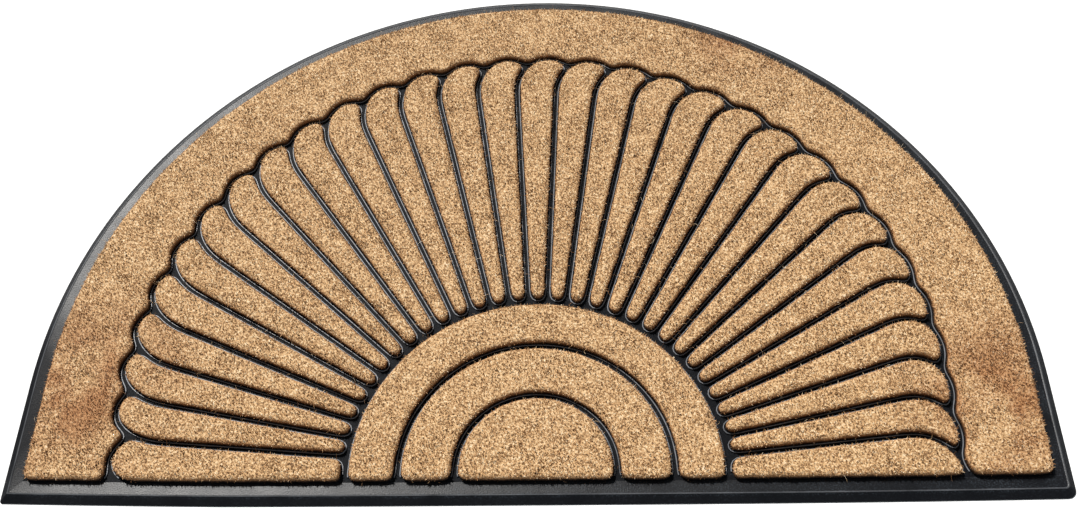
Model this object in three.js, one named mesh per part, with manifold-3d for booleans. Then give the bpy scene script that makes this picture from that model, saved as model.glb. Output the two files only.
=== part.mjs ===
// A half-round coir doormat with a sunburst pattern: blocks of coir pile set in a moulded rubber tray.
// Millimetres, +Z up. The origin is the middle of the footprint, on the floor. +X runs along the mat's
// front edge, and +Y points to the top of its arch. Outlines are drawn with y = 0 at the ends of the front
// edge and run anticlockwise. They are drawn with a straight front, which is bent last.
import * as THREE from "three";
import { mergeVertices } from "three/addons/utils/BufferGeometryUtils.js";
import Module from "manifold-3d";

// Size of the mat, from the line through the ends of its front edge. Its sides run straight up from the
// corners before the half circle starts.
const WIDTH = 1219;
const DEPTH = 762;
const ARCH_RADIUS = WIDTH / 2;
const STRAIGHT_SIDE = DEPTH - ARCH_RADIUS;
const LEFT_CORNER = 3;
const RIGHT_CORNER = 10;

// The front edge bulges forward in its middle, and its left end is drawn back. What lies near it bends too,
// less and less from where the bend eases off to where it ends.
const FRONT_BULGE = 3;
const LEFT_DRAW = 3;
const LEFT_DRAW_LENGTH = 260;
const BEND_EASE = 30;
const BEND_END = 60;

// Rubber tray: an upright lip, a sloping skirt up to a ridge, then a flat that dips to the ribs' height.
const LIP_HEIGHT = 1.2;
const SKIRT_WIDTH = 8;
const FRONT_SKIRT_WIDTH = 10.5;
const RIDGE_HEIGHT = 5.5;
const RIDGE_LEFT_CORNER = 1;
const RIDGE_RIGHT_CORNER = 4;
const FLAT_END = 20;
const FRONT_FLAT_END = 25;
const FLAT_CORNER = 1;
const RIB_HEIGHT = 4.5;
const POCKET_FLOOR = 2;

// Coir blocks. Each one fills its pocket but for the clearance, and its pile is rounded at the top edge. The
// field of coir as a whole sits a little to the right in the tray.
const PILE_TOP = 16;
const PILE_EDGE_DROP = 2.2;
const PILE_EDGE_WIDTH = 1.8;
const COIR_INSET = 23.5;
const FRONT_COIR_INSET = 27.5;
const COIR_SHIFT = 1.2;
const COIR_CORNER = 4;
const CLEARANCE = 0.3;

// Half rings around the fan's centre, each radius measured to the middle of a groove
const FAN_X = 6.5;
const FAN_Y = 35;
const INNER_GROOVE = 93;
const MIDDLE_GROOVE = 158.5;
const OUTER_GROOVE = 219;
const RING_GROOVE_WIDTH = 9.5;

// Fan petals. A groove runs straight out from the rings, rounds the shoulder of the petal on its clockwise
// side and goes over that petal's tip, until it meets the next groove. The grooves are evenly spaced at one
// radius, and lean a little off the fan's rays there, most at half height. Shoulders widen to the right.
const PETALS = 31;
const END_GROOVE_ANGLE = THREE.MathUtils.degToRad(4.85);
const FIRST_SHOULDER_ANGLE = THREE.MathUtils.degToRad(2.1);
const EVEN_RADIUS = 312;
const LEAN = THREE.MathUtils.degToRad(-0.6);
const SIDE_LEAN = THREE.MathUtils.degToRad(3);
const PETAL_GROOVE_WIDTH = 9;
const LEFT_TIP_INSET = 113;
const RIGHT_TIP_INSET = 116.5;
const LEFT_FOOT_LEAN = 0.07;
const LEFT_SHOULDER_ACROSS = 36;
const RIGHT_SHOULDER_ACROSS = 61;
const SHOULDER_ALONG = 60;
const LEFT_TIP_ACROSS = 42;
const RIGHT_TIP_ACROSS = 47;
const PETAL_CORNER = 5;
const CUSP_CORNER = 5;
const ROOT_RADIUS = OUTER_GROOVE + RING_GROOVE_WIDTH / 2;
const PITCH = (Math.PI - 2 * END_GROOVE_ANGLE) / (PETALS - 2);

// Points along each kind of curve
const ARCH_STEPS = 64;
const FRONT_STEPS = 16;
const RING_STEPS = 36;
const SHOULDER_STEPS = 7;
const TIP_STEPS = 6;
const CORNER_STEPS = 2;
const CORNER_MARGIN = 1.3;

const RUBBER = new THREE.MeshStandardMaterial({ color: 0x26282b, roughness: 0.55, metalness: 0 });
const COIR = new THREE.MeshStandardMaterial({ color: 0xc09865, roughness: 0.95, metalness: 0 });

const wasm = await Module();
wasm.setup();

const at = (x, y) => new THREE.Vector2(x, y);

// Points on a circle, from one angle to another
function arc(x, y, radius, from, to, steps) {
  return new THREE.EllipseCurve(x, y, radius, radius, from, to, to < from).getPoints(steps);
}

// Moves a line of points sideways, each along the bisector of the two edges that meet there. The distance
// is positive to the left of the direction of travel, so it is inwards on a closed outline.
function moveSideways(points, distance, closed) {
  const count = points.length;
  return points.map((point, i) => {
    const before = points[closed ? (i + count - 1) % count : Math.max(i - 1, 0)];
    const after = points[closed ? (i + 1) % count : Math.min(i + 1, count - 1)];
    const arriving = point.clone().sub(before).normalize();
    const leaving = after.clone().sub(point).normalize();
    const along = arriving.clone().add(leaving).normalize();
    const stretch = Math.max(along.dot(arriving), along.dot(leaving));
    return at(-along.y, along.x).multiplyScalar(distance / stretch).add(point);
  });
}

// Replaces a point of a closed outline, and what is nearer to it than a distance, by one smooth curve. The
// points just past the curve's ends go too, so that it is followed by no tiny step.
function roundCorner(outline, corner, distance) {
  const start = outline.indexOf(corner);
  const rolled = [...outline.slice(start), ...outline.slice(0, start)];
  const reach = rolled.map((point) => point.distanceTo(corner));
  const ahead = reach.findIndex((length) => length > distance);
  const behind = reach.findLastIndex((length) => length > distance);
  const isClear = (length) => length > distance * CORNER_MARGIN;
  const kept = rolled.slice(reach.findIndex(isClear), reach.findLastIndex(isClear) + 1);
  const cutBetween = (near, far) => {
    const share = (distance - reach[near]) / (reach[far] - reach[near]);
    return rolled[near].clone().lerp(rolled[far], share);
  };
  const from = cutBetween((behind + 1) % rolled.length, behind);
  const curve = new THREE.QuadraticBezierCurve(from, corner, cutBetween(ahead - 1, ahead));
  return [...kept, ...curve.getPoints(CORNER_STEPS)];
}

function roundCorners(outline, corners, distance) {
  return corners.reduce((rounded, corner) => roundCorner(rounded, corner, distance), outline);
}

// Where one line of points first crosses another: the first up to there, and the second before and after it
function crossing(first, second) {
  for (let i = 1; i < first.length; i++) {
    const step = first[i].clone().sub(first[i - 1]);
    for (let j = 1; j < second.length; j++) {
      const other = second[j].clone().sub(second[j - 1]);
      const apart = second[j - 1].clone().sub(first[i - 1]);
      const share = apart.cross(other) / step.cross(other);
      const otherShare = apart.cross(step) / step.cross(other);
      if (share > 0 && share <= 1 && otherShare >= 0 && otherShare <= 1) {
        const point = first[i - 1].clone().addScaledVector(step, share);
        return {
          point,
          before: [...first.slice(0, i), point],
          secondBefore: [...second.slice(0, j), point],
          secondAfter: [point, ...second.slice(j)],
        };
      }
    }
  }
  throw new Error("two lines never cross");
}

// The mat's own outline, moved inwards, from the right end of its front edge round to the left end
function archOutline({ inset, frontInset, leftCorner, rightCorner }) {
  const side = ARCH_RADIUS - inset;
  const right = Math.PI / 2;
  return [
    ...arc(side - rightCorner, frontInset + rightCorner, rightCorner, -right, 0, CORNER_STEPS),
    ...arc(0, STRAIGHT_SIDE, side, 0, Math.PI, ARCH_STEPS),
    ...arc(leftCorner - side, frontInset + leftCorner, leftCorner, 2 * right, 3 * right, CORNER_STEPS),
  ];
}

// Bends an outline with the mat's front edge. Its edges there are divided first where they are long.
function bendFront(outline) {
  const divided = outline.flatMap((point, i) => {
    const next = outline[(i + 1) % outline.length];
    const isFront = Math.max(point.y, next.y) < BEND_END;
    const steps = isFront ? Math.ceil((point.distanceTo(next) / WIDTH) * FRONT_STEPS) : 1;
    return Array.from({ length: steps }, (_, step) => point.clone().lerp(next, step / steps));
  });
  return divided.map(({ x, y }) => {
    const bulge = FRONT_BULGE * (1 - Math.abs(x / ARCH_RADIUS) ** 3);
    const fromLeft = ARCH_RADIUS + x;
    const draw = LEFT_DRAW * Math.max(1 - fromLeft / LEFT_DRAW_LENGTH, 0);
    const share = 1 - THREE.MathUtils.smoothstep(y, BEND_EASE, BEND_END);
    return at(x, y + (draw - bulge) * share);
  });
}

// A point on the arch that the petal tips touch, at a turn clockwise from its left end, and the clockwise
// direction there. A turn under 0 or over half a circle lies on the sides, and the left side leans inwards.
function tipArchPoint(turn) {
  const radius = (WIDTH - LEFT_TIP_INSET - RIGHT_TIP_INSET) / 2;
  const curved = THREE.MathUtils.clamp(turn, 0, Math.PI);
  const beyond = (turn - curved) * radius;
  const clockwise = at(Math.sin(curved), Math.cos(curved));
  const point = at(-Math.cos(curved), Math.sin(curved)).multiplyScalar(radius);
  const leftLean = Math.max(-beyond, 0) * LEFT_FOOT_LEAN;
  point.add(at((LEFT_TIP_INSET - RIGHT_TIP_INSET) / 2 + leftLean, STRAIGHT_SIDE));
  return { point: point.addScaledVector(clockwise, beyond), clockwise };
}

// The middle line of the groove at a turn clockwise from the fan's left side. The shoulder is a quarter of
// a slanted ellipse that touches the tips' arch at the petal's peak, and the tip goes on as another.
function grooveLine(turn) {
  const heading = turn + LEAN + SIDE_LEAN * Math.sin(2 * turn);
  const outward = at(-Math.cos(heading), Math.sin(heading));
  const sideways = at(outward.y, -outward.x);
  const pivot = at(FAN_X - EVEN_RADIUS * Math.cos(turn), FAN_Y + EVEN_RADIUS * Math.sin(turn));
  const shoulderAcross = THREE.MathUtils.lerp(LEFT_SHOULDER_ACROSS, RIGHT_SHOULDER_ACROSS, turn / Math.PI);
  const tipAcross = THREE.MathUtils.lerp(LEFT_TIP_ACROSS, RIGHT_TIP_ACROSS, turn / Math.PI);
  let low = turn - 1;
  let high = turn + 1;
  while (high - low > 1e-6) {
    const middle = (low + high) / 2;
    const { point, clockwise } = tipArchPoint(middle);
    const across = point.sub(pivot).dot(sideways) / clockwise.dot(sideways);
    if (across < shoulderAcross) low = middle;
    else high = middle;
  }
  const { point: peak, clockwise } = tipArchPoint(low);
  const heart = peak.clone().addScaledVector(outward, -SHOULDER_ALONG);
  const onEllipse = (angle, across) =>
    heart
      .clone()
      .addScaledVector(clockwise, -across * Math.cos(angle))
      .addScaledVector(outward, SHOULDER_ALONG * Math.sin(angle));
  const quarter = Math.PI / 2;
  const line = [pivot.clone().addScaledVector(outward, ROOT_RADIUS - EVEN_RADIUS)];
  for (let i = 0; i <= SHOULDER_STEPS; i++)
    line.push(onEllipse((quarter * i) / SHOULDER_STEPS, shoulderAcross));
  for (let i = 1; i <= TIP_STEPS; i++) line.push(onEllipse(quarter * (1 + i / TIP_STEPS), tipAcross));
  return line;
}

// The front of the coir cuts off the first groove up to its shoulder
const grooves = [grooveLine(-FIRST_SHOULDER_ANGLE).slice(1)];
for (let i = 0; i < PETALS - 1; i++) grooves.push(grooveLine(END_GROOVE_ANGLE + i * PITCH));
const clockwiseSides = grooves.map((line) => moveSideways(line, -PETAL_GROOVE_WIDTH / 2, false));
const anticlockwiseSides = grooves.map((line) => moveSideways(line, PETAL_GROOVE_WIDTH / 2, false));

// The coir's front edge, out from a root of the fan to one side: -1 is left and 1 is right
function footLine(side) {
  const x = FAN_X + side * ROOT_RADIUS;
  return [at(x, FAN_Y), at(x, FRONT_COIR_INSET), at(side * ARCH_RADIUS, FRONT_COIR_INSET)];
}

// A petal lies between one groove's clockwise side, which rounds its shoulder, and the next groove
function petalOutline(index) {
  const next = index < PETALS - 1 ? anticlockwiseSides[index + 1] : footLine(1);
  let shoulder = clockwiseSides[index];
  if (index === 0) {
    const foot = crossing(footLine(-1), shoulder);
    shoulder = [...foot.before, ...foot.secondAfter.slice(1)];
  }
  const tip = crossing(shoulder, next);
  const outline = [...tip.secondBefore, ...tip.before.slice(0, -1).reverse()];
  return roundCorners(outline, [tip.point, shoulder[0], next[0]], PETAL_CORNER);
}

// The border's inner edge follows each groove from the cusp where it starts to the cusp with the next
function borderOutline() {
  const start = crossing(footLine(-1), anticlockwiseSides[0]);
  const edge = [];
  const cusps = [];
  let scallop = start.secondAfter;
  for (const next of [...anticlockwiseSides.slice(1), footLine(1)]) {
    const cusp = crossing(scallop, next);
    edge.push(...cusp.before.slice(0, -1));
    cusps.push(cusp.point);
    scallop = cusp.secondAfter;
  }
  const arch = archOutline({
    inset: COIR_INSET,
    frontInset: FRONT_COIR_INSET,
    leftCorner: COIR_CORNER,
    rightCorner: COIR_CORNER,
  });
  const shifted = arch.map(({ x, y }) => at(x + COIR_SHIFT, y));
  return roundCorners([...shifted, ...edge, cusps.at(-1)], cusps, CUSP_CORNER);
}

function ringOutline(innerGroove, outerGroove) {
  const inner = innerGroove + RING_GROOVE_WIDTH / 2;
  const outer = outerGroove - RING_GROOVE_WIDTH / 2;
  const feet = [outer, -outer, -inner, inner].map((x) => at(FAN_X + x, FRONT_COIR_INSET));
  const outline = [
    feet[0],
    ...arc(FAN_X, FAN_Y, outer, 0, Math.PI, RING_STEPS),
    feet[1],
    feet[2],
    ...arc(FAN_X, FAN_Y, inner, Math.PI, 0, RING_STEPS),
    feet[3],
  ];
  return roundCorners(outline, feet, CUSP_CORNER);
}

function centreOutline() {
  const radius = INNER_GROOVE - RING_GROOVE_WIDTH / 2;
  const feet = [at(FAN_X + radius, FRONT_COIR_INSET), at(FAN_X - radius, FRONT_COIR_INSET)];
  const outline = [feet[0], ...arc(FAN_X, FAN_Y, radius, 0, Math.PI, RING_STEPS), feet[1]];
  return roundCorners(outline, feet, CUSP_CORNER);
}

// A closed solid through outlines at rising or falling heights, all with the same number of points
function stack(layers) {
  const count = layers[0].outline.length;
  const positions = layers.flatMap(({ height, outline }) => outline.flatMap(({ x, y }) => [x, y, height]));
  const faces = [];
  for (let layer = 0; layer < layers.length - 1; layer++)
    for (let i = 0; i < count; i++) {
      const here = layer * count + i;
      const next = layer * count + ((i + 1) % count);
      faces.push(here, next, next + count, here, next + count, here + count);
    }
  const top = (layers.length - 1) * count;
  for (const [a, b, c] of THREE.ShapeUtils.triangulateShape(layers[0].outline, [])) faces.push(c, b, a);
  for (const [a, b, c] of THREE.ShapeUtils.triangulateShape(layers.at(-1).outline, []))
    faces.push(top + a, top + b, top + c);
  const geometry = new THREE.BufferGeometry();
  geometry.setAttribute("position", new THREE.Float32BufferAttribute(positions, 3));
  return geometry.setIndex(faces);
}

function coirGeometry(outline) {
  const height = PILE_TOP - POCKET_FLOOR - CLEARANCE;
  return stack([
    { height: 0, outline },
    { height: height - PILE_EDGE_DROP, outline },
    { height, outline: moveSideways(outline, PILE_EDGE_WIDTH, true) },
  ]);
}

function toSolid(geometry) {
  const merged = mergeVertices(geometry);
  const vertProperties = merged.getAttribute("position").array;
  const triVerts = new Uint32Array(merged.index.array);
  return new wasm.Manifold(new wasm.Mesh({ numProp: 3, vertProperties, triVerts }));
}

function toGeometry(solid) {
  const { vertProperties, triVerts } = solid.getMesh();
  const geometry = new THREE.BufferGeometry();
  geometry.setAttribute("position", new THREE.BufferAttribute(vertProperties, 3));
  return geometry.setIndex(new THREE.BufferAttribute(triVerts, 1));
}

// The tray, with one pocket cut for each block of coir. What is left between the pockets is the ribs.
function trayGeometry(coirOutlines) {
  const foot = archOutline({
    inset: 0,
    frontInset: 0,
    leftCorner: LEFT_CORNER,
    rightCorner: RIGHT_CORNER,
  });
  const ridge = archOutline({
    inset: SKIRT_WIDTH,
    frontInset: FRONT_SKIRT_WIDTH,
    leftCorner: RIDGE_LEFT_CORNER,
    rightCorner: RIDGE_RIGHT_CORNER,
  });
  const flat = archOutline({
    inset: FLAT_END,
    frontInset: FRONT_FLAT_END,
    leftCorner: FLAT_CORNER,
    rightCorner: FLAT_CORNER,
  });
  let tray = toSolid(
    stack([
      { height: 0, outline: bendFront(foot) },
      { height: LIP_HEIGHT, outline: bendFront(foot) },
      { height: RIDGE_HEIGHT, outline: bendFront(ridge) },
      { height: RIB_HEIGHT, outline: bendFront(flat) },
    ]),
  );
  for (const outline of coirOutlines) {
    const pocket = moveSideways(outline, -CLEARANCE, true);
    const cutter = stack([
      { height: POCKET_FLOOR, outline: pocket },
      { height: PILE_TOP, outline: pocket },
    ]);
    tray = tray.subtract(toSolid(cutter));
  }
  return toGeometry(tray);
}

const blocks = new Map([
  ["coir_border", bendFront(borderOutline())],
  ["coir_ring_outer", bendFront(ringOutline(MIDDLE_GROOVE, OUTER_GROOVE))],
  ["coir_ring_inner", bendFront(ringOutline(INNER_GROOVE, MIDDLE_GROOVE))],
  ["coir_centre", bendFront(centreOutline())],
]);
for (let i = 0; i < PETALS; i++) {
  const number = String(i + 1).padStart(2, "0");
  blocks.set("coir_petal_" + number, bendFront(petalOutline(i)));
}

const mat = new THREE.Group();
mat.position.y = (FRONT_BULGE - DEPTH) / 2;

const tray = new THREE.Mesh(trayGeometry([...blocks.values()]), RUBBER);
tray.name = "rubber_base";
mat.add(tray);

for (const [name, outline] of blocks) {
  const block = new THREE.Mesh(coirGeometry(outline), COIR);
  block.name = name;
  block.position.z = POCKET_FLOOR + CLEARANCE;
  mat.add(block);
}

export default mat;
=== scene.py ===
"""A half-round coir doormat with a sunburst pattern: blocks of coir pile set in a moulded rubber tray."""

import math

import bmesh
import bpy
from mathutils import Matrix, Vector, noise


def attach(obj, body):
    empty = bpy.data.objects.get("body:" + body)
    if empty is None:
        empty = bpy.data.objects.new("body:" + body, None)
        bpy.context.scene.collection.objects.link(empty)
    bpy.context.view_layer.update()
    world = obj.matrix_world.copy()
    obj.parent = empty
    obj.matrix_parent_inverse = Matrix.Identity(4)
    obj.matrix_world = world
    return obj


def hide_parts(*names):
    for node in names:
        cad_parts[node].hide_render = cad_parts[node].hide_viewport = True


MM = 0.001

# Plan of the mat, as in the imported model
WIDTH = 1219 * MM
DEPTH = 762 * MM
ARCH_RADIUS = WIDTH / 2
FRONT_BULGE = 3 * MM
LEFT_DRAW = 3 * MM
LEFT_DRAW_LENGTH = 260 * MM
BEND_EASE = 30 * MM
BEND_END = 60 * MM
FRONT_Y = (FRONT_BULGE - DEPTH) / 2
ARCH_CENTRE_Y = FRONT_Y + DEPTH - ARCH_RADIUS
ARCH_SEGMENTS = 192
CORNER_SEGMENTS = 4
FRONT_SEGMENTS = 24

# Section of the tray's rim in millimetres: distance in from the arch and from the front edge, height, and
# the radius of the left and the right corner
RIM_SECTION = [
    (0.4, 0.4, 0.0, 2.6, 9.6),
    (0.0, 0.0, 0.4, 3.0, 10.0),
    (0.0, 0.0, 1.0, 3.0, 10.0),
    (0.5, 0.5, 1.5, 2.8, 9.6),
    (7.1, 9.6, 4.9, 1.2, 4.6),
    (7.7, 10.2, 5.4, 1.0, 4.2),
    (8.5, 11.0, 5.5, 1.0, 4.0),
    (9.4, 11.9, 5.1, 0.9, 3.6),
    (22.2, 26.3, 4.1, 0.8, 1.0),
]

# Outline of a coir block: its steps, how its sharp tips are blunted, and how it is smoothed
OUTLINE_STEP = 4 * MM
MOST_STEPS = 8
SHARP_TURN = math.radians(100)
TIP_CUT = 12 * MM
SMOOTHINGS = 3

# Moulded lips along the ribs, beside each block of pile. Along the rim there are none
LIP_FOOT = 3.9 * MM
LIP_TOP = 5.9 * MM
LIP_GAP = 1.3 * MM
LIP_WIDTH = 1.5 * MM
LIP_ROUNDING = 0.5 * MM
MITRE_LIMIT = 1.6
RIM_REACH = 31 * MM

# Bed of a coir block under its tufts: how its outline wanders, and each rounding step's inset and rise
BED_FOOT = 3.6 * MM
BED_SHOULDER = 10.6 * MM
BED_ROUNDING = [(0.3 * MM, 1.2 * MM), (0.7 * MM, 1.0 * MM), (1.3 * MM, 0.8 * MM), (2.4 * MM, 0.5 * MM)]
OUTLINE_WANDER = 0.7 * MM
WANDER_SCALE = 70
WANDER_SEED = 5
SORTED_ALONG = Vector((1, 1.37, 7.91))

# Tufts of fibre: a slim three-sided spike each, planted below the bed's surface and fewer on its walls
TUFT_RADIUS = 0.9 * MM
TUFT_LENGTH = 5.2 * MM
TUFT_SPACING = 1.6 * MM
TUFTS_PER_M2 = 3000000
TUFT_DEPTH = 1.9 * MM
TUFT_LEAN = 0.75
TUFT_SCALES = ((0.7, 0.7, 0.6), (1.5, 1.5, 1.15))
TUFT_SEED = 11
WALL_SHARE = 0.4
LUMP_SCALE = 45
LUMP_HEIGHT = 0.7 * MM

# Long loose strands among the tufts
STRAND_RADIUS = 0.16 * MM
STRAND_LENGTH = 9 * MM
STRANDS_PER_M2 = 2600
STRAND_DEPTH = 2 * MM
STRAND_MIDDLE = 0.6
STRAND_END = 0.7
STRAND_LEAN = 0.9
STRAND_SCALES = ((0.6, 0.6, 0.6), (1.1, 1.1, 1.3))
STRAND_SEED = 21

# How much of a tuft's direction is the bed's own, and how much is straight up
OUTWARD_SHARE = 0.55
UPWARD_SHARE = 0.6

# Coir's colours, from a fibre's darkest shade to its palest, then its painted shade: redder and darker at the
# root, a redder brown near the bed's edge, near black down in the grooves; and a tint multiplied where it is
# worn
FIBRE_SHADES = [
    (0.00, (0.070, 0.032, 0.013)),
    (0.14, (0.260, 0.138, 0.056)),
    (0.32, (0.540, 0.325, 0.145)),
    (0.60, (0.760, 0.510, 0.265)),
    (0.85, (0.930, 0.740, 0.470)),
    (1.00, (0.980, 0.880, 0.680)),
]
ROOT_PAINTED_SHADE = (0.26, 0.125, 0.045, 1)
EDGE_PAINTED_SHADE = (0.38, 0.165, 0.055, 1)
GROOVE_PAINTED_SHADE = (0.03, 0.012, 0.006, 1)
WORN_TINT = (0.66, 0.50, 0.40, 1)
EDGE_SHADE_HEIGHTS = (14.3 * MM, 11 * MM)
GROOVE_SHADE_HEIGHTS = (11.3 * MM, 7 * MM)
BED_SHADE = 0.42
# The bed counts as partway up a tuft, so it takes part of the painted root shade
BED_RISE = 0.45
CLUMPS_PER_M = 260
STREAKS_PER_M = 1500
STREAK_DRAW = (0.16, 1, 1)
SPECK_SCALE = 380
MOTTLE_SCALE = 120
CLOUD_SCALE = 14
COIR_RELIEF = 1.3 * MM

# Walked-on patches, where the pile is darker: place and radius
WORN_PATCHES = [
    ((-0.54, -0.24), 0.16),
    ((0.545, -0.26), 0.14),
    ((0.30, 0.30), 0.10),
]
PILE_TOP = 14 * MM

# Rubber: its own colour, the dust in its grain (thinner low down, as painted shade), its rubbed edges (partly
# painted highlight), and the stretch of rim painted darker and less shiny as painted shade
RUBBER_BLACK = (0.0042, 0.0046, 0.006, 1)
DUST_GREY = (0.11, 0.135, 0.165, 1)
RUBBED_AND_HIGHLIGHT_GREY = (0.26, 0.27, 0.29, 1)
RUB_AND_HIGHLIGHT_EASE = 0.35 * MM
GRAIN_SCALE = 620
GRAIN_RELIEF = 0.25 * MM
DUST_CLOUD_SCALE = 22
DUST_SHADE_HEIGHTS = (3.8 * MM, 4.5 * MM)
ROUGHNESS_SPREAD = 0.09
DIMMED_SHINE_PLACE = (-0.68, -0.25, 0.005)
DIMMED_SHINE_RADIUS = 0.17

# Light: a low sun from behind on the left, and a sky that is brighter towards the horizon
SUN_DIRECTION = Vector((-0.334, 0.546, 0.766))
SUN_STRENGTH = 5.2
SUN_WIDTH = math.radians(3)
SUN_COLOUR = (1.0, 0.975, 0.94)
SKY_COLOUR = (0.84, 0.92, 1.0, 1)
SKY_STRENGTHS = (0.42, 0.13)
FLOOR_REACH = 20

# Camera, from the perspective of the mat's own outline
CAMERA_PLACE = Vector((58.3, -818.4, 1253.4)) * MM
CAMERA_TARGET = Vector((9.5, -51.3, 0.0)) * MM
CAMERA_ROLL = math.radians(-3.928)
CAMERA_LENS = 38.36

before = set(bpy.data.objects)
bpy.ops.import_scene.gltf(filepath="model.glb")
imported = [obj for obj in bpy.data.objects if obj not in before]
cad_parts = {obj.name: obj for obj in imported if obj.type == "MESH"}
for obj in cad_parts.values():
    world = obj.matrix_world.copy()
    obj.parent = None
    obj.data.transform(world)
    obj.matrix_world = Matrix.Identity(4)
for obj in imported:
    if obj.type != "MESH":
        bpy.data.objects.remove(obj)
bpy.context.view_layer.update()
noise.seed_set(WANDER_SEED)


def link_nodes(tree, kind, inputs=None, **settings):
    """Adds a node, sets its settings, then joins or sets its inputs by name or number."""
    node = tree.nodes.new(kind)
    for name, value in settings.items():
        setattr(node, name, value)
    for name, value in (inputs or {}).items():
        if isinstance(value, bpy.types.NodeSocket):
            tree.links.new(value, node.inputs[name])
        else:
            node.inputs[name].default_value = value
    return node


def colour_ramp(tree, factor, stops):
    ramp = link_nodes(tree, "ShaderNodeValToRGB", {"Fac": factor})
    elements = ramp.color_ramp.elements
    elements[0].position, elements[1].position = stops[0][0], stops[-1][0]
    elements[0].color, elements[1].color = (*stops[0][1], 1), (*stops[-1][1], 1)
    for position, colour in stops[1:-1]:
        elements.new(position).color = (*colour, 1)
    return ramp.outputs["Color"]


def new_material(name):
    material = bpy.data.materials.new(name)
    material.use_nodes = True
    tree = material.node_tree
    return material, tree, tree.nodes["Principled BSDF"]


def fine_noise(tree, place, scale, detail=2.0, roughness=0.5):
    inputs = {"Vector": place, "Scale": scale, "Detail": detail, "Roughness": roughness}
    return link_nodes(tree, "ShaderNodeTexNoise", inputs).outputs["Fac"]


def map_range(tree, value, low, high, to_low=0.0, to_high=1.0):
    inputs = {"Value": value, "From Min": low, "From Max": high, "To Min": to_low, "To Max": to_high}
    return link_nodes(tree, "ShaderNodeMapRange", inputs).outputs["Result"]


def maths(tree, operation, first, second):
    return link_nodes(tree, "ShaderNodeMath", {0: first, 1: second}, operation=operation).outputs[0]


def mix_colour(tree, factor, first, second, blend="MIX"):
    node = tree.nodes.new("ShaderNodeMix")
    node.data_type = "RGBA"
    node.blend_type = blend
    for socket, value in ((node.inputs[0], factor), (node.inputs[6], first), (node.inputs[7], second)):
        if isinstance(value, bpy.types.NodeSocket):
            tree.links.new(value, socket)
        else:
            socket.default_value = value
    return node.outputs[2]


def make_rubber_wear_and_painted_light():
    """The dust, thinner low down as painted shade, the rubbing, partly painted highlight, the darker stretch
    of painted shade, and the grain that the mat's rubber shares, as masks and a normal.
    """
    group = bpy.data.node_groups.new("rubber_wear_and_painted_light", "ShaderNodeTree")
    group.interface.new_socket("Rub And Highlight Start", in_out="INPUT", socket_type="NodeSocketFloat")
    for name in ("Dust And Shade", "Rubbed And Highlit", "Undimmed", "Cloud"):
        group.interface.new_socket(name, in_out="OUTPUT", socket_type="NodeSocketFloat")
    group.interface.new_socket("Normal", in_out="OUTPUT", socket_type="NodeSocketVector")
    rub_and_highlight_start = group.nodes.new("NodeGroupInput").outputs["Rub And Highlight Start"]
    place = link_nodes(group, "ShaderNodeTexCoord").outputs["Object"]
    height = link_nodes(group, "ShaderNodeSeparateXYZ", {0: place}).outputs["Z"]
    grain = fine_noise(group, place, GRAIN_SCALE, 3, 0.65)
    cloud = fine_noise(group, place, DUST_CLOUD_SCALE, 4, 0.6)
    # Painted shade: a stretch of the left rim with less dust and much less shine, so darker
    away = link_nodes(group, "ShaderNodeVectorMath", {0: place, 1: DIMMED_SHINE_PLACE}, operation="DISTANCE")
    undimmed = map_range(group, away.outputs["Value"], DIMMED_SHINE_RADIUS * 0.6, DIMMED_SHINE_RADIUS, 0.2, 1.0)
    dust_and_shade = maths(group, "MULTIPLY", map_range(group, grain, 0.5, 0.66), map_range(group, cloud, 0.3, 0.65))
    # Painted shade: less dust, so darker rubber, low down on the groove floors and beside the coir
    dust_and_shade = maths(group, "MULTIPLY", dust_and_shade, map_range(group, height, *DUST_SHADE_HEIGHTS, 0.25, 1.0))
    # Lighter above a height: partly real rubbing, partly painted highlight along the ridge and the lip tops
    rub_and_highlight_end = maths(group, "ADD", rub_and_highlight_start, RUB_AND_HIGHLIGHT_EASE)
    rubbed_and_highlit = maths(group, "MULTIPLY", map_range(group, height, rub_and_highlight_start, rub_and_highlight_end),
                   map_range(group, cloud, 0.15, 0.6))
    bump = link_nodes(group, "ShaderNodeBump", {"Height": grain, "Distance": GRAIN_RELIEF, "Strength": 0.8})
    link_nodes(group, "NodeGroupOutput", {
        "Dust And Shade": maths(group, "MULTIPLY", dust_and_shade, undimmed), "Rubbed And Highlit": rubbed_and_highlit, "Undimmed": undimmed, "Cloud": cloud,
        "Normal": bump.outputs["Normal"],
    })
    return group


def make_rubber(wear_and_painted_light_group, name, gloss, shine, dust_and_painted_light, rub_and_highlight_start, rub_and_highlight):
    """Moulded black rubber, dusty in its grain but less so low down as painted shade, rubbed lighter above a
    height partly as painted highlight, and darker and less shiny in one stretch as painted shade.
    """
    material, tree, surface = new_material(name)
    wear_and_painted_light = link_nodes(tree, "ShaderNodeGroup", {"Rub And Highlight Start": rub_and_highlight_start}, node_tree=wear_and_painted_light_group).outputs
    colour = mix_colour(tree, maths(tree, "MULTIPLY", wear_and_painted_light["Dust And Shade"], dust_and_painted_light), RUBBER_BLACK, DUST_GREY)
    colour = mix_colour(tree, maths(tree, "MULTIPLY", wear_and_painted_light["Rubbed And Highlit"], rub_and_highlight), colour, RUBBED_AND_HIGHLIGHT_GREY)
    tree.links.new(colour, surface.inputs["Base Color"])
    tree.links.new(map_range(tree, wear_and_painted_light["Cloud"], 0.3, 0.7, gloss, gloss + ROUGHNESS_SPREAD),
                   surface.inputs["Roughness"])
    tree.links.new(maths(tree, "MULTIPLY", wear_and_painted_light["Undimmed"], shine), surface.inputs["Specular IOR Level"])
    tree.links.new(wear_and_painted_light["Normal"], surface.inputs["Normal"])
    return material


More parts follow.
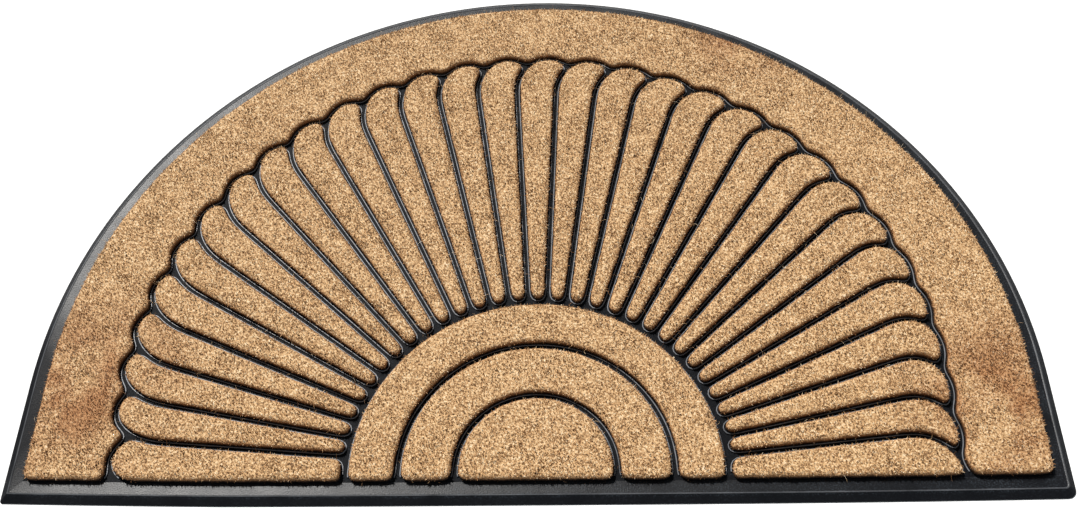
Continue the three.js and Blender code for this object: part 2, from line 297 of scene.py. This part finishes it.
def worn_patches(tree, place):
    """How worn the pile is: full in the middle of each patch, and nothing past its radius."""
    most = 0.0
    for (x, y), radius in WORN_PATCHES:
        away = link_nodes(tree, "ShaderNodeVectorMath", {0: place, 1: (x, y, PILE_TOP)}, operation="DISTANCE")
        near = map_range(tree, away.outputs["Value"], radius, radius * 0.2)
        most = maths(tree, "MAXIMUM", most, near)
    return most


def fibre_strokes(tree, place):
    """Short streaks of fibre, in clumps that each run their own way."""
    cells = link_nodes(tree, "ShaderNodeTexVoronoi", {"Vector": place, "Scale": CLUMPS_PER_M})
    heading = link_nodes(tree, "ShaderNodeSeparateColor", {0: cells.outputs["Color"]}).outputs[0]
    turned = link_nodes(tree, "ShaderNodeVectorRotate",
                        {"Vector": place, "Angle": maths(tree, "MULTIPLY", heading, math.pi)},
                        rotation_type="Z_AXIS")
    drawn = link_nodes(tree, "ShaderNodeVectorMath", {0: turned.outputs[0], 1: STREAK_DRAW},
                       operation="MULTIPLY")
    return fine_noise(tree, drawn.outputs[0], STREAKS_PER_M, 1)


def make_coir():
    """Coir fibre: straw, tan and dark brown tufts, with painted shade that makes them redder and darker
    towards their roots, the bed's edge and the grooves.
    """
    material, tree, surface = new_material("coir_fibre")
    place = link_nodes(tree, "ShaderNodeTexCoord").outputs["Object"]
    height = link_nodes(tree, "ShaderNodeSeparateXYZ", {0: place}).outputs["Z"]
    tuft = link_nodes(tree, "ShaderNodeAttribute", attribute_name="tuft").outputs["Fac"]
    rise = link_nodes(tree, "ShaderNodeAttribute", attribute_name="rise").outputs["Fac"]
    speck = fine_noise(tree, place, SPECK_SCALE, 2, 0.6)
    mottle = fine_noise(tree, place, MOTTLE_SCALE, 2, 0.5)
    cloud = fine_noise(tree, place, CLOUD_SCALE, 3, 0.6)
    fibre = fibre_strokes(tree, place)
    shade = maths(tree, "ADD", tuft, map_range(tree, speck, 0.3, 0.7, -0.42, 0.42))
    shade = maths(tree, "ADD", shade, map_range(tree, mottle, 0.3, 0.7, -0.08, 0.08))
    shade = maths(tree, "ADD", shade, map_range(tree, fibre, 0.35, 0.65, -0.22, 0.22))
    colour = colour_ramp(tree, shade, FIBRE_SHADES)
    # Painted shade: each tuft darker and redder towards its root, low in the pile, and the bed somewhat too
    root_shade = maths(tree, "MULTIPLY", map_range(tree, rise, 0.7, 0.2), 0.4)
    colour = mix_colour(tree, root_shade, colour, ROOT_PAINTED_SHADE)
    # Painted shade: a darker, redder brown down the bed's rounded edge and upper walls
    edge_shade = maths(tree, "MULTIPLY", map_range(tree, height, *EDGE_SHADE_HEIGHTS), 0.8)
    colour = mix_colour(tree, edge_shade, colour, EDGE_PAINTED_SHADE)
    # Painted shade: near black down in the grooves, at the foot of each wall
    groove_shade = maths(tree, "MULTIPLY", map_range(tree, height, *GROOVE_SHADE_HEIGHTS), 0.93)
    colour = mix_colour(tree, groove_shade, colour, GROOVE_PAINTED_SHADE)
    worn = maths(tree, "MULTIPLY", worn_patches(tree, place), map_range(tree, cloud, 0.38, 0.58, 0.05, 1.0))
    colour = mix_colour(tree, worn, colour, WORN_TINT, "MULTIPLY")
    tree.links.new(colour, surface.inputs["Base Color"])
    surface.inputs["Roughness"].default_value = 0.75
    surface.inputs["Specular IOR Level"].default_value = 0.35
    relief = maths(tree, "ADD", maths(tree, "MULTIPLY", fibre, 0.5), speck)
    bump = link_nodes(tree, "ShaderNodeBump", {"Height": relief, "Distance": COIR_RELIEF, "Strength": 0.9})
    tree.links.new(bump.outputs["Normal"], surface.inputs["Normal"])
    return material


def put_in_order(mesh):
    """Sorts a mesh by place, because extruding leaves it in another order each run."""
    mesh.verts.sort(key=lambda vert: vert.co.dot(SORTED_ALONG))
    mesh.edges.sort(key=lambda edge: (edge.verts[0].co + edge.verts[1].co).dot(SORTED_ALONG))
    mesh.faces.sort(key=lambda face: face.calc_center_median().dot(SORTED_ALONG))
    for parts in (mesh.verts, mesh.edges, mesh.faces):
        parts.index_update()


def finish_mesh(mesh, name, materials):
    """Turns a bmesh into a piece of the mat."""
    put_in_order(mesh)
    data = bpy.data.meshes.new(name)
    mesh.to_mesh(data)
    mesh.free()
    for material in materials:
        data.materials.append(material)
    piece = bpy.data.objects.new(name, data)
    bpy.context.scene.collection.objects.link(piece)
    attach(piece, "root")
    return piece


def arch_loop(mesh, inset, front_inset, height, left_corner, right_corner):
    """The mat's outline moved in: half a circle on two straight sides, with rounded front corners."""
    centre = Vector((0, ARCH_CENTRE_Y, height))
    made = bmesh.ops.create_circle(
        mesh, segments=ARCH_SEGMENTS, radius=ARCH_RADIUS - inset, matrix=Matrix.Translation(centre)
    )
    edges = {edge for vert in made["verts"] for edge in vert.link_edges}
    cut = bmesh.ops.bisect_plane(
        mesh, geom=[*made["verts"], *edges], plane_co=centre, plane_no=(0, -1, 0), clear_outer=True, dist=1e-7
    )
    feet = [vert for vert in cut["geom_cut"] if isinstance(vert, bmesh.types.BMVert)]
    corners = bmesh.ops.extrude_vert_indiv(mesh, verts=feet)["verts"]
    for corner in corners:
        corner.co.y = FRONT_Y + front_inset
    mesh.edges.new(corners)
    for corner in corners:
        radius = left_corner if corner.co.x < 0 else right_corner
        bmesh.ops.bevel(
            mesh, geom=[corner], offset=radius, offset_type="OFFSET", segments=CORNER_SEGMENTS, profile=0.5,
            affect="VERTICES", material=-1,
        )
    loop = [edge for edge in mesh.edges if all(abs(vert.co.z - height) < 1e-7 for vert in edge.verts)]
    front = max(loop, key=lambda edge: edge.calc_length())
    halves = bmesh.ops.subdivide_edges(mesh, edges=[front], cuts=FRONT_SEGMENTS - 1)["geom_split"]
    return list({*loop, *(part for part in halves if isinstance(part, bmesh.types.BMEdge))})


def bend_front(mesh):
    """Bulges what lies along the mat's front edge forward in its middle, and draws its left end back."""
    for vert in mesh.verts:
        bulge = FRONT_BULGE * (1 - abs(vert.co.x / ARCH_RADIUS) ** 3)
        draw = LEFT_DRAW * max(1 - (ARCH_RADIUS + vert.co.x) / LEFT_DRAW_LENGTH, 0)
        part = min(max((vert.co.y - FRONT_Y - BEND_EASE) / (BEND_END - BEND_EASE), 0), 1)
        vert.co.y += (draw - bulge) * (1 - part * part * (3 - 2 * part))


def make_tray(rubber, shaded_rib_rubber):
    """The tray: its rim stands on the floor, and its top is the ribs, which have a material of their own, a
    darker and much less shiny copy of the rubber as painted shade.
    """
    mesh = bmesh.new()
    loops = []
    for section in RIM_SECTION:
        loops.append(arch_loop(mesh, *(size * MM for size in section)))
    for lower, upper in zip(loops, loops[1:]):
        bmesh.ops.bridge_loops(mesh, edges=lower + upper)
    bmesh.ops.contextual_create(mesh, geom=loops[0])
    top = bmesh.ops.contextual_create(mesh, geom=loops[-1])["faces"][0]
    top.material_index = 1
    bmesh.ops.recalc_face_normals(mesh, faces=mesh.faces[:])
    bend_front(mesh)
    bmesh.ops.triangulate(mesh, faces=[face for face in mesh.faces if len(face.verts) > 4])
    tray = finish_mesh(mesh, "rubber_tray", [rubber, shaded_rib_rubber])
    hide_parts("rubber_base")


def cut_long_edges(mesh):
    """Cuts each edge into steps of about one length."""
    for steps in range(MOST_STEPS, 1, -1):
        long = [edge for edge in mesh.edges if edge.calc_length() > OUTLINE_STEP * (steps - 0.5)]
        bmesh.ops.subdivide_edges(mesh, edges=long, cuts=steps - 1)


def block_outline(node, height):
    """The foot of a coir block as one face at a height, in short steps, its sharp tips blunted."""
    mesh = bmesh.new()
    mesh.from_mesh(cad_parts[node].data)
    bmesh.ops.remove_doubles(mesh, verts=mesh.verts[:], dist=1e-5)
    mesh.normal_update()
    others = [face for face in mesh.faces if face.normal.z > -0.9]
    bmesh.ops.delete(mesh, geom=others, context="FACES")
    bmesh.ops.dissolve_faces(mesh, faces=mesh.faces[:])
    bmesh.ops.delete(mesh, geom=mesh.faces[:], context="FACES_ONLY")
    tips = [vert.co.copy() for vert in mesh.verts if vert.calc_edge_angle() > SHARP_TURN]
    cut_long_edges(mesh)
    blunted = [vert for vert in mesh.verts if any((vert.co - tip).length < TIP_CUT for tip in tips)]
    bmesh.ops.dissolve_verts(mesh, verts=blunted)
    cut_long_edges(mesh)
    for vert in mesh.verts:
        vert.co.z = height
    for _ in range(SMOOTHINGS):
        bmesh.ops.smooth_vert(mesh, verts=mesh.verts[:], factor=0.5, use_axis_x=True, use_axis_y=True)
    bmesh.ops.contextual_create(mesh, geom=mesh.edges[:])
    mesh.normal_update()
    return mesh


def by_the_rim(edge):
    """Whether an edge of a block's outline lies along the rim rather than along a rib."""
    middle = (edge.verts[0].co + edge.verts[1].co) / 2
    from_arch = ARCH_RADIUS - math.hypot(middle.x, max(middle.y - ARCH_CENTRE_Y, 0))
    return min(from_arch, middle.y - FRONT_Y) < RIM_REACH


def foot_of(wall):
    return min(wall.edges, key=lambda edge: edge.verts[0].co.z + edge.verts[1].co.z)


def make_lips(rubber, nodes):
    """The raised lips of the tray's ribs, one along each side of a rib, joined into one piece."""
    whole = bmesh.new()
    for node in nodes:
        mesh = block_outline(node, LIP_FOOT)
        made = bmesh.ops.extrude_edge_only(mesh, edges=mesh.edges[:])["geom"]
        for part in made:
            if isinstance(part, bmesh.types.BMVert):
                part.co.z = LIP_TOP
        bmesh.ops.recalc_face_normals(mesh, faces=mesh.faces[:])
        put_in_order(mesh)
        spare = [face for face in mesh.faces if len(face.verts) > 4 or by_the_rim(foot_of(face))]
        bmesh.ops.delete(mesh, geom=spare, context="FACES")
        mesh.normal_update()
        for vert in mesh.verts:
            vert.co += vert.normal * LIP_GAP * min(vert.calc_shell_factor(), MITRE_LIMIT)
        bmesh.ops.solidify(mesh, geom=mesh.faces[:], thickness=-LIP_WIDTH)
        bmesh.ops.recalc_face_normals(mesh, faces=mesh.faces[:])
        rims = [edge for edge in mesh.edges
                if min(vert.co.z for vert in edge.verts) > LIP_TOP - 1e-6 and edge.calc_face_angle(0) > 1]
        bmesh.ops.bevel(mesh, geom=rims, offset=LIP_ROUNDING, offset_type="OFFSET", segments=1, profile=0.5,
                        affect="EDGES", material=-1, clamp_overlap=True)
        scrap = bpy.data.meshes.new("lip")
        mesh.to_mesh(scrap)
        mesh.free()
        whole.from_mesh(scrap)
        bpy.data.meshes.remove(scrap)
    finish_mesh(whole, "rib_lips", [rubber])


def make_bed(coir, node):
    """The body of a coir block: an uneven outline, upright walls and a rounded top edge."""
    mesh = block_outline(node, BED_FOOT)
    for vert in mesh.verts:
        wander = noise.noise_vector(vert.co * WANDER_SCALE) * OUTLINE_WANDER
        vert.co.x += wander.x
        vert.co.y += wander.y
    made = bmesh.ops.extrude_face_region(mesh, geom=mesh.faces[:], use_keep_orig=True)["geom"]
    height = BED_SHOULDER
    for part in made:
        if isinstance(part, bmesh.types.BMVert):
            part.co.z = height
    put_in_order(mesh)
    top = max(mesh.faces, key=lambda face: face.calc_center_median().z)
    for inset, rise in BED_ROUNDING:
        bmesh.ops.inset_region(mesh, faces=[top], thickness=inset, use_even_offset=True)
        height += rise
        for vert in top.verts:
            vert.co.z = height
    bmesh.ops.triangulate(mesh, faces=[face for face in mesh.faces if len(face.verts) > 4])
    bmesh.ops.recalc_face_normals(mesh, faces=mesh.faces[:])
    bed = finish_mesh(mesh, node.replace("coir", "pile"), [coir])
    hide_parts(node)
    return bed


def spike_shape(tree):
    """A slim spike with its root at z = 0, which carries how far up it each point is."""
    cone = link_nodes(tree, "GeometryNodeMeshCone",
                      {"Vertices": 3, "Radius Top": 0.0, "Radius Bottom": TUFT_RADIUS, "Depth": TUFT_LENGTH})
    place = link_nodes(tree, "GeometryNodeInputPosition").outputs[0]
    height = link_nodes(tree, "ShaderNodeSeparateXYZ", {0: place}).outputs["Z"]
    rise = maths(tree, "DIVIDE", height, TUFT_LENGTH)
    return store_number(tree, cone.outputs["Mesh"], "POINT", "rise", rise)


def strand_shape(tree):
    """A thin bent strand with its root at the origin."""
    line = link_nodes(tree, "GeometryNodeCurveQuadraticBezier", {
        "Resolution": 6, "Start": (0, 0, -STRAND_DEPTH), "Middle": (0, 0, STRAND_LENGTH * STRAND_MIDDLE),
        "End": (STRAND_LENGTH * STRAND_END, 0, STRAND_LENGTH * STRAND_END),
    })
    section = link_nodes(tree, "GeometryNodeCurvePrimitiveCircle", {"Resolution": 3, "Radius": STRAND_RADIUS})
    tube = link_nodes(tree, "GeometryNodeCurveToMesh", {
        "Curve": line.outputs[0], "Profile Curve": section.outputs[0], "Fill Caps": True,
    })
    return store_number(tree, tube.outputs[0], "POINT", "rise", 1.0)


def store_number(tree, geometry, domain, name, value):
    node = tree.nodes.new("GeometryNodeStoreNamedAttribute")
    node.data_type = "FLOAT"
    node.domain = domain
    tree.links.new(geometry, node.inputs["Geometry"])
    node.inputs["Name"].default_value = name
    if isinstance(value, bpy.types.NodeSocket):
        tree.links.new(value, node.inputs["Value"])
    else:
        node.inputs["Value"].default_value = value
    return node.outputs["Geometry"]


def random_number(tree, low, high, seed):
    node = tree.nodes.new("FunctionNodeRandomValue")
    node.data_type = "FLOAT"
    node.inputs[2].default_value = low
    node.inputs[3].default_value = high
    node.inputs["Seed"].default_value = seed
    return node.outputs[1]


def random_vector(tree, low, high, seed):
    node = tree.nodes.new("FunctionNodeRandomValue")
    node.data_type = "FLOAT_VECTOR"
    node.inputs[0].default_value = low
    node.inputs[1].default_value = high
    node.inputs["Seed"].default_value = seed
    return node.outputs[0]


def scatter(tree, shape, points, normals, lean, scales, seed):
    """Plants a shape on points, leaning at random about the surface's own direction and straight up."""
    outward = link_nodes(tree, "ShaderNodeVectorMath", {0: normals, 1: (OUTWARD_SHARE,) * 3},
                         operation="MULTIPLY")
    upward = link_nodes(tree, "ShaderNodeVectorMath", {0: outward.outputs[0], 1: (0, 0, UPWARD_SHARE)},
                        operation="ADD")
    wild = random_vector(tree, (-lean, -lean, -lean * 0.3), (lean, lean, lean * 0.3), seed)
    aim = link_nodes(tree, "ShaderNodeVectorMath", {0: upward.outputs[0], 1: wild}, operation="ADD")
    turn = link_nodes(tree, "FunctionNodeAlignRotationToVector", {"Vector": aim.outputs[0]}, axis="Z")
    spin = link_nodes(tree, "ShaderNodeCombineXYZ", {"Z": random_number(tree, 0, math.tau, seed + 1)})
    spun = link_nodes(tree, "FunctionNodeRotateRotation",
                      {"Rotation": turn.outputs[0], "Rotate By": spin.outputs[0]}, rotation_space="LOCAL")
    planted = link_nodes(tree, "GeometryNodeInstanceOnPoints", {
        "Points": points, "Instance": shape, "Rotation": spun.outputs[0],
        "Scale": random_vector(tree, scales[0], scales[1], seed + 2),
    })
    return store_number(tree, planted.outputs[0], "INSTANCE", "tuft", random_number(tree, 0, 1, seed + 3))


def make_pile_tree(coir):
    """Plants tufts all over a bed of coir from one X to another, with a few long loose strands."""
    tree = bpy.data.node_groups.new("coir_pile", "GeometryNodeTree")
    inputs = {"Geometry": "Geometry", "Seed": "Int", "From X": "Float", "To X": "Float", "With Bed": "Bool"}
    for name, kind in inputs.items():
        tree.interface.new_socket(name, in_out="INPUT", socket_type="NodeSocket" + kind)
    tree.interface.new_socket("Geometry", in_out="OUTPUT", socket_type="NodeSocketGeometry")
    start = tree.nodes.new("NodeGroupInput")
    bed = start.outputs["Geometry"]
    facing = link_nodes(tree, "GeometryNodeInputNormal").outputs[0]
    tilt = link_nodes(tree, "ShaderNodeSeparateXYZ", {0: facing}).outputs["Z"]
    grows = link_nodes(tree, "FunctionNodeCompare", {0: tilt, 1: -0.5}, operation="GREATER_THAN").outputs[0]
    share = map_range(tree, tilt, 0.1, 0.9, WALL_SHARE, 1.0)
    spots = link_nodes(tree, "GeometryNodeDistributePointsOnFaces", {
        "Mesh": bed, "Selection": grows, "Distance Min": TUFT_SPACING, "Density Max": TUFTS_PER_M2,
        "Density Factor": share, "Seed": start.outputs["Seed"],
    }, distribute_method="POISSON")
    place = link_nodes(tree, "GeometryNodeInputPosition").outputs[0]
    across = link_nodes(tree, "ShaderNodeSeparateXYZ", {0: place}).outputs["X"]
    too_left = link_nodes(tree, "FunctionNodeCompare", {0: across, 1: start.outputs["From X"]},
                          operation="LESS_THAN").outputs[0]
    too_right = link_nodes(tree, "FunctionNodeCompare", {0: across, 1: start.outputs["To X"]},
                           operation="GREATER_EQUAL").outputs[0]
    outside = link_nodes(tree, "FunctionNodeBooleanMath", {0: too_left, 1: too_right},
                         operation="OR").outputs[0]
    normals = spots.outputs["Normal"]
    sunk = link_nodes(tree, "ShaderNodeVectorMath", {0: normals, 1: (-TUFT_DEPTH,) * 3}, operation="MULTIPLY")
    lumps = fine_noise(tree, place, LUMP_SCALE)
    lump = link_nodes(tree, "ShaderNodeCombineXYZ",
                      {"Z": map_range(tree, lumps, 0.3, 0.7, -LUMP_HEIGHT, LUMP_HEIGHT)})
    shift = link_nodes(tree, "ShaderNodeVectorMath", {0: sunk.outputs[0], 1: lump.outputs[0]},
                       operation="ADD")
    rooted = link_nodes(tree, "GeometryNodeSetPosition",
                        {"Geometry": spots.outputs["Points"], "Offset": shift.outputs[0]})
    kept = link_nodes(tree, "GeometryNodeDeleteGeometry",
                      {"Geometry": rooted.outputs[0], "Selection": outside}, domain="POINT")
    tufts = scatter(tree, spike_shape(tree), kept.outputs[0], normals, TUFT_LEAN, TUFT_SCALES, TUFT_SEED)
    loose_spots = link_nodes(tree, "GeometryNodeDistributePointsOnFaces", {
        "Mesh": bed, "Selection": grows, "Density": STRANDS_PER_M2, "Seed": start.outputs["Seed"],
    }, distribute_method="RANDOM")
    loose_kept = link_nodes(tree, "GeometryNodeDeleteGeometry",
                            {"Geometry": loose_spots.outputs["Points"], "Selection": outside}, domain="POINT")
    strands = scatter(tree, strand_shape(tree), loose_kept.outputs[0], loose_spots.outputs["Normal"],
                      STRAND_LEAN, STRAND_SCALES, STRAND_SEED)
    both = tree.nodes.new("GeometryNodeJoinGeometry")
    tree.links.new(tufts, both.inputs[0])
    tree.links.new(strands, both.inputs[0])
    real = link_nodes(tree, "GeometryNodeRealizeInstances", {"Geometry": both.outputs[0]})
    plain = store_number(tree, bed, "POINT", "tuft", BED_SHADE)
    plain = store_number(tree, plain, "POINT", "rise", BED_RISE)
    body = tree.nodes.new("GeometryNodeSwitch")
    body.input_type = "GEOMETRY"
    tree.links.new(start.outputs["With Bed"], body.inputs["Switch"])
    tree.links.new(plain, body.inputs["True"])
    whole = tree.nodes.new("GeometryNodeJoinGeometry")
    tree.links.new(real.outputs[0], whole.inputs[0])
    tree.links.new(body.outputs[0], whole.inputs[0])
    dressed = link_nodes(tree, "GeometryNodeSetMaterial", {"Geometry": whole.outputs[0], "Material": coir})
    end = tree.nodes.new("NodeGroupOutput")
    tree.links.new(dressed.outputs[0], end.inputs[0])
    return tree


def grow_pile(bed, tree, settings):
    """Grows the tufts on a bed, and returns them as a mesh."""
    grower = bed.modifiers.new("pile", "NODES")
    grower.node_group = tree
    for item in tree.interface.items_tree:
        if item.name in settings:
            grower[item.identifier] = settings[item.name]
    depsgraph = bpy.context.evaluated_depsgraph_get()
    grown = bpy.data.meshes.new_from_object(bed.evaluated_get(depsgraph), depsgraph=depsgraph)
    bed.modifiers.clear()
    return grown


def make_pile(coir, tree, node, seed):
    """A block of coir. The border has so many tufts that those of its right half are a piece of their own."""
    bed = make_bed(coir, node)
    halved = node == "coir_border"
    middle = 0.0 if halved else WIDTH
    left_pile = grow_pile(bed, tree, {"Seed": seed, "From X": -WIDTH, "To X": middle, "With Bed": True})
    if halved:
        right_half = {"Seed": seed, "From X": middle, "To X": WIDTH, "With Bed": False}
        tufts = bpy.data.objects.new("pile_border_right", grow_pile(bed, tree, right_half))
        bpy.context.scene.collection.objects.link(tufts)
        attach(tufts, "root")
    bed.data = left_pile


def make_stage():
    floor_material, tree, surface = new_material("pale_floor")
    surface.inputs["Base Color"].default_value = (0.92, 0.92, 0.92, 1)
    surface.inputs["Roughness"].default_value = 0.9
    surface.inputs["Specular IOR Level"].default_value = 0.1
    mesh = bmesh.new()
    bmesh.ops.create_grid(mesh, x_segments=1, y_segments=1, size=FLOOR_REACH)
    data = bpy.data.meshes.new("floor")
    mesh.to_mesh(data)
    mesh.free()
    data.materials.append(floor_material)
    floor = bpy.data.objects.new("floor", data)
    bpy.context.scene.collection.objects.link(floor)

    sun = bpy.data.objects.new("key_light", bpy.data.lights.new("key_light", "SUN"))
    sun.data.energy = SUN_STRENGTH
    sun.data.angle = SUN_WIDTH
    sun.data.color = SUN_COLOUR
    sun.rotation_mode = "QUATERNION"
    sun.rotation_quaternion = SUN_DIRECTION.to_track_quat("Z", "Y")
    bpy.context.scene.collection.objects.link(sun)

    world = bpy.data.worlds.new("studio")
    bpy.context.scene.world = world
    world.use_nodes = True
    tree = world.node_tree
    soft = tree.nodes["Background"]
    sky = link_nodes(tree, "ShaderNodeTexCoord").outputs["Generated"]
    overhead = link_nodes(tree, "ShaderNodeSeparateXYZ", {0: sky}).outputs["Z"]
    soft.inputs["Color"].default_value = SKY_COLOUR
    tree.links.new(map_range(tree, overhead, 0.45, 0.95, *SKY_STRENGTHS), soft.inputs["Strength"])


def make_camera():
    camera = bpy.data.objects.new("camera", bpy.data.cameras.new("camera"))
    camera.data.lens = CAMERA_LENS
    camera.data.sensor_width = 36
    back = (CAMERA_PLACE - CAMERA_TARGET).normalized()
    level = Vector((0, 0, 1)).cross(back).normalized()
    raised = back.cross(level)
    right = level * math.cos(CAMERA_ROLL) + raised * math.sin(CAMERA_ROLL)
    up = raised * math.cos(CAMERA_ROLL) - level * math.sin(CAMERA_ROLL)
    turn = Matrix((right, up, back)).transposed().to_4x4()
    camera.matrix_world = Matrix.Translation(CAMERA_PLACE) @ turn
    bpy.context.scene.collection.objects.link(camera)
    bpy.context.scene.camera = camera


make_camera()
make_stage()
bpy.context.scene.view_settings.view_transform = "Standard"
wear_and_painted_light_group = make_rubber_wear_and_painted_light()
rubber = make_rubber(
    wear_and_painted_light_group, "moulded_rubber", gloss=0.31, shine=0.2, dust_and_painted_light=0.3, rub_and_highlight_start=5.1 * MM, rub_and_highlight=0.3
)
# Painted shade: the ribs' floor is a darker, much less shiny copy of the rubber
shaded_rib_rubber = make_rubber(
    wear_and_painted_light_group, "shaded_rib_rubber", gloss=0.5, shine=0.05, dust_and_painted_light=0.25, rub_and_highlight_start=5.1 * MM, rub_and_highlight=0.0
)
# Lip tops lighter and shinier than the rim: partly real rubbing, partly painted highlight
highlit_lip_rubber = make_rubber(
    wear_and_painted_light_group, "rubbed_and_highlit_rubber", gloss=0.33, shine=0.4, dust_and_painted_light=0.6, rub_and_highlight_start=5.3 * MM, rub_and_highlight=0.8
)
coir = make_coir()
coir_nodes = sorted(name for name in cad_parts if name.startswith("coir"))
make_tray(rubber, shaded_rib_rubber)
make_lips(highlit_lip_rubber, coir_nodes)
pile_tree = make_pile_tree(coir)
for seed, node in enumerate(coir_nodes):
    make_pile(coir, pile_tree, node, seed)
